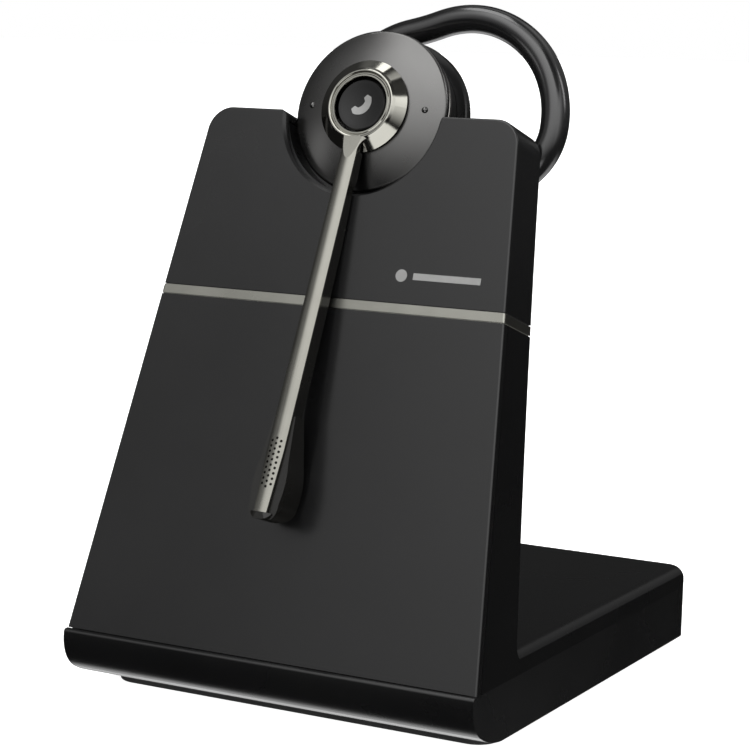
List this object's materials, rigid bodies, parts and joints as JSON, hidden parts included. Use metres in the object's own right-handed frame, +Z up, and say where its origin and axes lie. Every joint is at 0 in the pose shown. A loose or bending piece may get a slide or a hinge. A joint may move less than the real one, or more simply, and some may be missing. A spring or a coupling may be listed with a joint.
{
  "type": "office headset",
  "caption": "Wireless office headset with a swinging microphone boom and an ear hook, docked in its leaning desk charging stand.",
  "frame": {"origin": "middle of the whole object's footprint, on the desk", "axes": "+Z up; the stand's front and the boom face -Y; +X to the right seen from the front"},
  "size_m": [0.096, 0.1152, 0.146],
  "materials": {
    "case_dark": "fine satin texture, dark charcoal",
    "case_black": "black, fine texture",
    "panel_gloss": "semi-gloss dark grey face",
    "band": "warm grey satin strip",
    "pad_rubber": "matt rubber",
    "steel": "plain steel",
    "magnet": "nickel plated",
    "board": "green solder mask",
    "chip": "black epoxy",
    "shield": "tinned steel can",
    "brass": "gold plated contact",
    "ribbon": "flat cable",
    "port_metal": "stamped shell",
    "port_black": "moulded socket",
    "mark_grey": "printed light grey",
    "disc_satin": "satin anodised-look disc",
    "champagne": "champagne gunmetal metallised",
    "ring_light": "light metallic ring",
    "cushion": "black leatherette over foam",
    "hook_rubber": "satin black soft-touch rubber",
    "mesh": "dark acoustic mesh",
    "battery": "metal can",
    "cell_wrap": "wrapped driver frame",
    "wire_red": "insulated lead"
  },
  "bodies": {
    "stand": {"base_housing": "case_black", "upper_hood": "case_dark", "trim_band": "band", "front_panel": "panel_gloss", "base_bottom_cover": "case_black", "foot_pad": "pad_rubber", "bottom_cover_screws": "steel", "ballast_plate": "steel", "dock_cradle": "case_black", "dock_magnets": "magnet", "charge_board": "board", "charge_pin_barrels": "brass", "main_board": "board", "main_board_chips": "chip", "radio_shield": "shield", "antenna_strips": "brass", "board_screws": "steel", "hood_screws": "steel", "ribbon_cable": "ribbon", "base_board": "board", "phone_jacks": "port_black", "usb_socket": "port_metal", "power_jack": "port_black", "panel_mark": "mark_grey"},
    "headset": {"puck_housing": "case_black", "contact_pads": "brass", "rocker_pivot_pins": "steel", "puck_trim_ring": "ring_light", "boom_bearing_sleeve": "brass", "headset_board": "board", "battery_cell": "battery", "dock_keeper_plate": "steel", "rear_cover": "case_black", "speaker_driver": "cell_wrap", "speaker_grille": "mesh", "ear_cushion": "cushion"},
    "volume_rocker": {"rocker_disc": "disc_satin"},
    "boom": {"boom_hub_ring": "champagne", "boom_hub_carrier": "case_black", "boom_shaft": "steel", "boom_retaining_clip": "steel", "call_switch": "chip", "boom_arm_cover": "champagne", "boom_arm_core": "case_black", "boom_wire": "wire_red", "mic_pod": "case_black", "mic_mesh": "mesh", "mic_capsules": "port_metal"},
    "call_button": {"call_button_cap": "case_black", "call_button_icon": "mark_grey"},
    "earhook": {"earhook_clip_ring": "case_black", "earhook_sleeve": "hook_rubber", "earhook_core_wire": "steel"},
    "charge_pin_l": {"charge_pin_left": "brass"},
    "charge_pin_r": {"charge_pin_right": "brass"}
  },
  "joints": [
    {"name": "headset_lift", "type": "slide", "parent": "stand", "child": "headset", "axis": [0, 0.3133, 0.9496], "range_m": [0, 0.1]},
    {"name": "volume_rock", "type": "hinge", "parent": "headset", "child": "volume_rocker", "pos_m": [0, -0.01501, 0.12304], "axis": [0, 0.3133, 0.9496], "range_deg": [-1, 1], "stiffness_Nm_per_rad": 0.5},
    {"name": "boom_swing", "type": "hinge", "parent": "headset", "child": "boom", "pos_m": [0, -0.01777, 0.12395], "axis": [0, -0.9496, 0.3133], "range_deg": [-150, 150]},
    {"name": "call_press", "type": "slide", "parent": "boom", "child": "call_button", "axis": [0, 0.9496, -0.3133], "range_m": [0, 0.0006], "stiffness_N_per_m": 500},
    {"name": "earhook_swivel", "type": "hinge", "parent": "headset", "child": "earhook", "pos_m": [0, -0.00694, 0.12038], "axis": [0, -0.9496, 0.3133], "range_deg": [-20, 35]},
    {"name": "charge_pin_left_press", "type": "slide", "parent": "stand", "child": "charge_pin_l", "axis": [0, 0.3133, 0.9496], "range_m": [-0.0004, 0], "stiffness_N_per_m": 100},
    {"name": "charge_pin_right_press", "type": "slide", "parent": "stand", "child": "charge_pin_r", "axis": [0, 0.3133, 0.9496], "range_m": [-0.0004, 0], "stiffness_N_per_m": 100}
  ]
}
